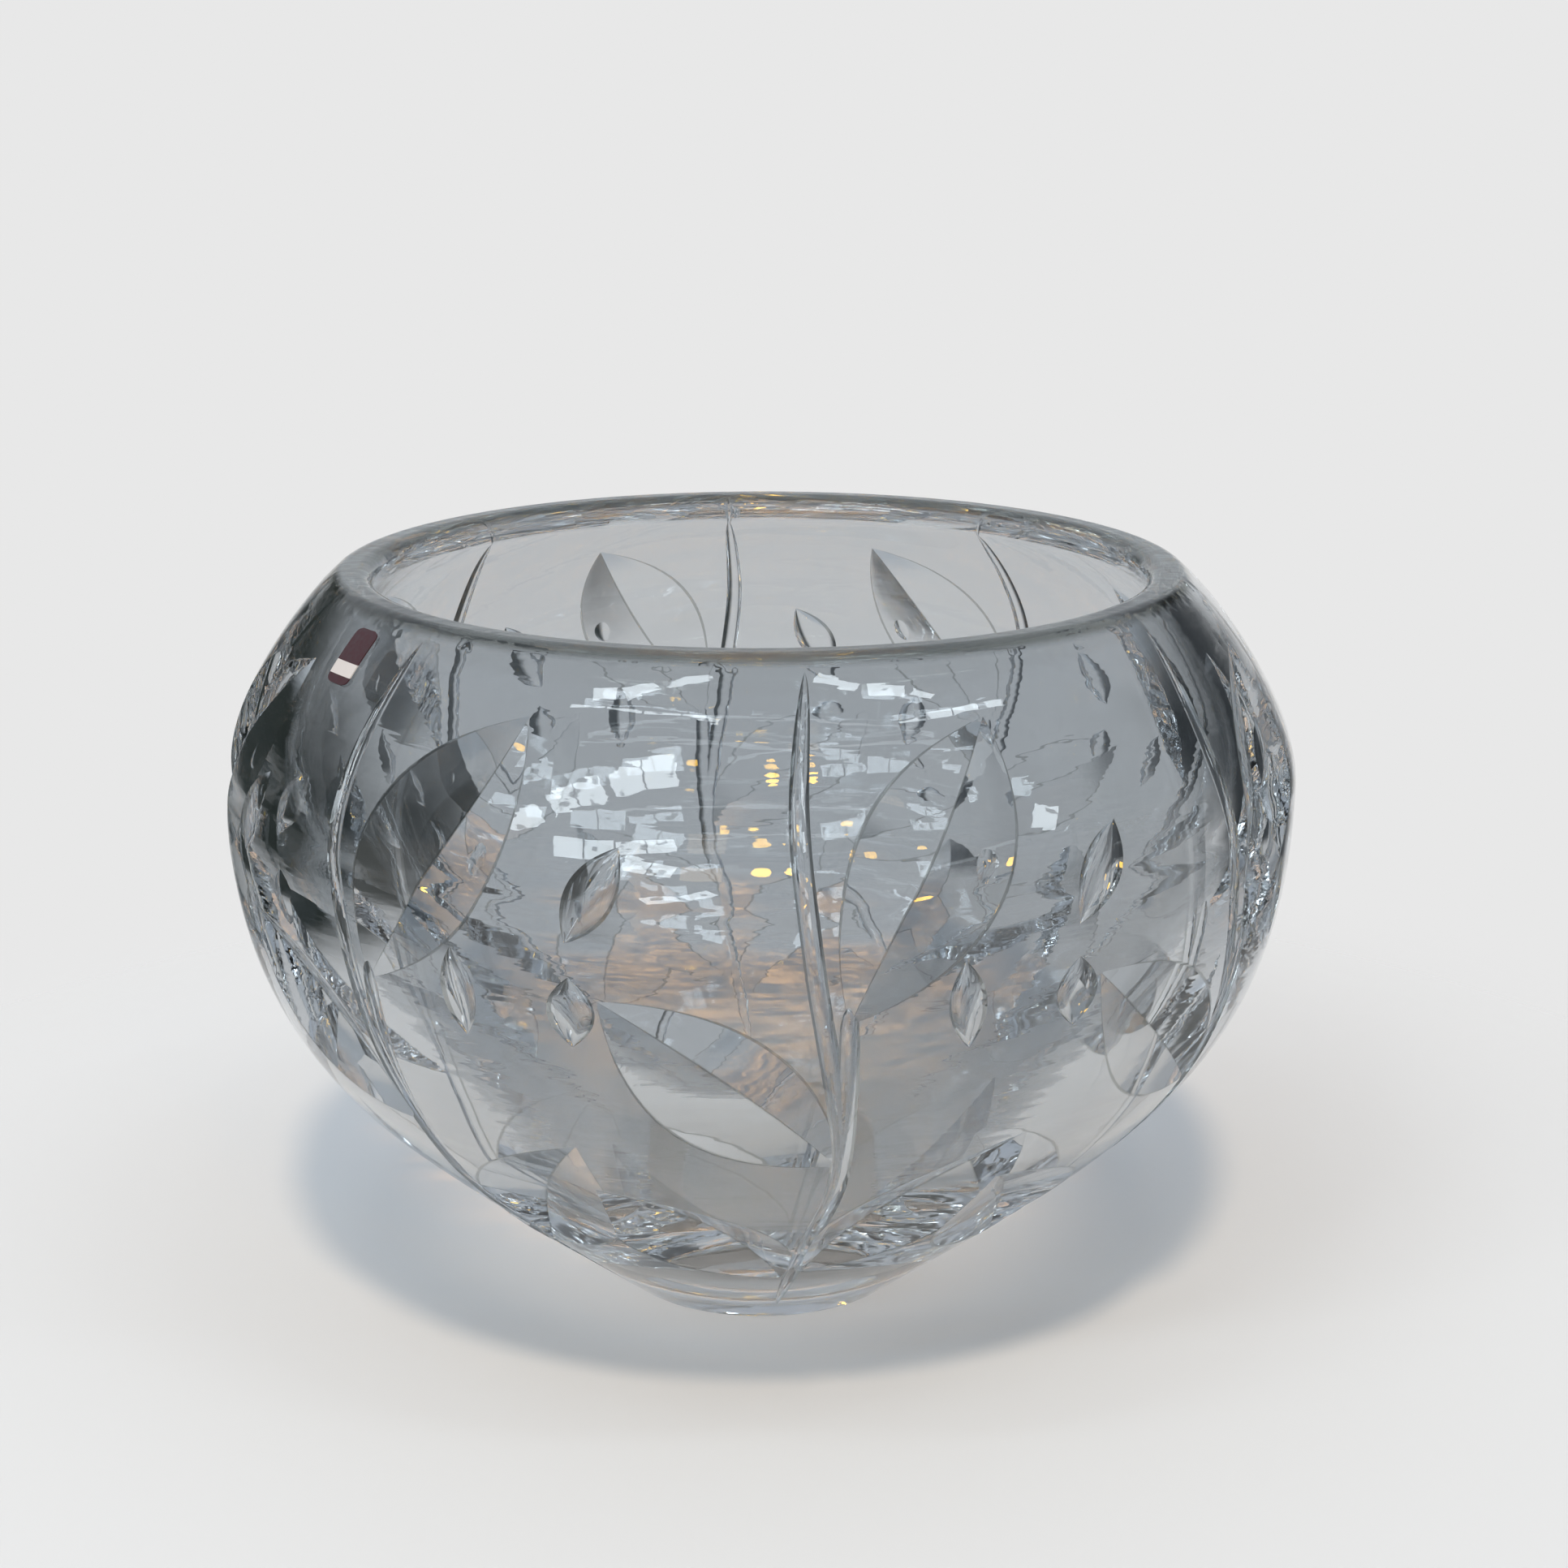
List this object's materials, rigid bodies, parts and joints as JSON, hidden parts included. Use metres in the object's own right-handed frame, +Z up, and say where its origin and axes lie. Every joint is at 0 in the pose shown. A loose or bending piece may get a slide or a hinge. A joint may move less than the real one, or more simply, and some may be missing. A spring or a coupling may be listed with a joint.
{
  "type": "glass fruit bowl",
  "caption": "Heavy round bowl of clear cut crystal with a drawn-in mouth, a narrow flat foot, wheel-cut leaf sprays outside and a small plain label.",
  "frame": {"origin": "on the table, under the middle of the foot", "axes": "+Z up along the bowl's axis of turning; -Y towards the viewer of the picture; +X to the viewer's right"},
  "size_m": [0.24, 0.24, 0.168],
  "materials": {
    "crystal": "clear crystal, fire-polished inside, wheel-cut and polished outside",
    "label": "thin dark red foil label with a plain pale band"
  },
  "bodies": {
    "root": {"glass_bowl": "crystal", "shoulder_label": "label"}
  },
  "joints": []
}
